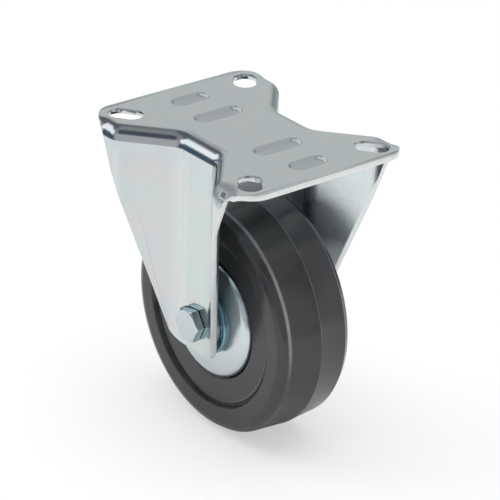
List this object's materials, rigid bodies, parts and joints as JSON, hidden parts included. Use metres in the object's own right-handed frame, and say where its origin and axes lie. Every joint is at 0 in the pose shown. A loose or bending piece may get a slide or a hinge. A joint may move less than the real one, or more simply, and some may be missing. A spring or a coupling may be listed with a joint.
{
  "type": "fixed castor",
  "caption": "Fixed castor with a folded zinc-plated steel fork, slotted top plate and a rubber-tyred wheel that turns on a roller bearing.",
  "frame": {"origin": "centre of the top plate's flat upper face, in the plane that is screwed against a frame", "axes": "+Z out of the top plate, +X the rolling direction, +Y along the axle towards the nut"},
  "size_m": [0.102, 0.0842, 0.128],
  "materials": {
    "zinc_steel": "bright zinc plating, glossy, faintly blue",
    "rubber": "smooth satin black rubber",
    "bearing_steel": "ground and polished",
    "nylon": "matt natural nylon"
  },
  "bodies": {
    "bracket": {"fork_bracket": "zinc_steel", "axle_bolt": "zinc_steel", "axle_nut": "zinc_steel", "nut_lock_ring": "nylon", "bearing_sleeve": "bearing_steel", "thrust_washer_near": "bearing_steel", "thrust_washer_far": "bearing_steel"},
    "wheel": {"tyre": "rubber", "rim_cup_near": "zinc_steel", "rim_cup_far": "zinc_steel", "hub_tube": "zinc_steel"},
    "cage": {"bearing_cage": "nylon"},
    "roller_body_1": {"roller_1": "bearing_steel"},
    "roller_body_2": {"roller_2": "bearing_steel"},
    "roller_body_3": {"roller_3": "bearing_steel"},
    "roller_body_4": {"roller_4": "bearing_steel"},
    "roller_body_5": {"roller_5": "bearing_steel"},
    "roller_body_6": {"roller_6": "bearing_steel"},
    "roller_body_7": {"roller_7": "bearing_steel"},
    "roller_body_8": {"roller_8": "bearing_steel"}
  },
  "joints": [
    {"name": "wheel_spin", "type": "hinge", "parent": "bracket", "child": "wheel", "pos_m": [0, 0, -0.078], "axis": [0, 1, 0], "continuous": true},
    {"name": "cage_spin", "type": "hinge", "parent": "bracket", "child": "cage", "pos_m": [0, 0, -0.078], "axis": [0, 1, 0], "continuous": true},
    {"name": "roller_1_spin", "type": "hinge", "parent": "cage", "child": "roller_body_1", "pos_m": [0.0088, 0, -0.078], "axis": [0, 1, 0], "continuous": true},
    {"name": "roller_2_spin", "type": "hinge", "parent": "cage", "child": "roller_body_2", "pos_m": [0.00622, 0, -0.07178], "axis": [0, 1, 0], "continuous": true},
    {"name": "roller_3_spin", "type": "hinge", "parent": "cage", "child": "roller_body_3", "pos_m": [0, 0, -0.0692], "axis": [0, 1, 0], "continuous": true},
    {"name": "roller_4_spin", "type": "hinge", "parent": "cage", "child": "roller_body_4", "pos_m": [-0.00622, 0, -0.07178], "axis": [0, 1, 0], "continuous": true},
    {"name": "roller_5_spin", "type": "hinge", "parent": "cage", "child": "roller_body_5", "pos_m": [-0.0088, 0, -0.078], "axis": [0, 1, 0], "continuous": true},
    {"name": "roller_6_spin", "type": "hinge", "parent": "cage", "child": "roller_body_6", "pos_m": [-0.00622, 0, -0.08422], "axis": [0, 1, 0], "continuous": true},
    {"name": "roller_7_spin", "type": "hinge", "parent": "cage", "child": "roller_body_7", "pos_m": [0, 0, -0.0868], "axis": [0, 1, 0], "continuous": true},
    {"name": "roller_8_spin", "type": "hinge", "parent": "cage", "child": "roller_body_8", "pos_m": [0.00622, 0, -0.08422], "axis": [0, 1, 0], "continuous": true}
  ],
  "couplings": [
    {"joint": "cage_spin", "follows": "wheel_spin", "ratio": 0.6506},
    {"joint": "roller_1_spin", "follows": "wheel_spin", "ratio": 1.51},
    {"joint": "roller_2_spin", "follows": "wheel_spin", "ratio": 1.51},
    {"joint": "roller_3_spin", "follows": "wheel_spin", "ratio": 1.51},
    {"joint": "roller_4_spin", "follows": "wheel_spin", "ratio": 1.51},
    {"joint": "roller_5_spin", "follows": "wheel_spin", "ratio": 1.51},
    {"joint": "roller_6_spin", "follows": "wheel_spin", "ratio": 1.51},
    {"joint": "roller_7_spin", "follows": "wheel_spin", "ratio": 1.51},
    {"joint": "roller_8_spin", "follows": "wheel_spin", "ratio": 1.51}
  ]
}
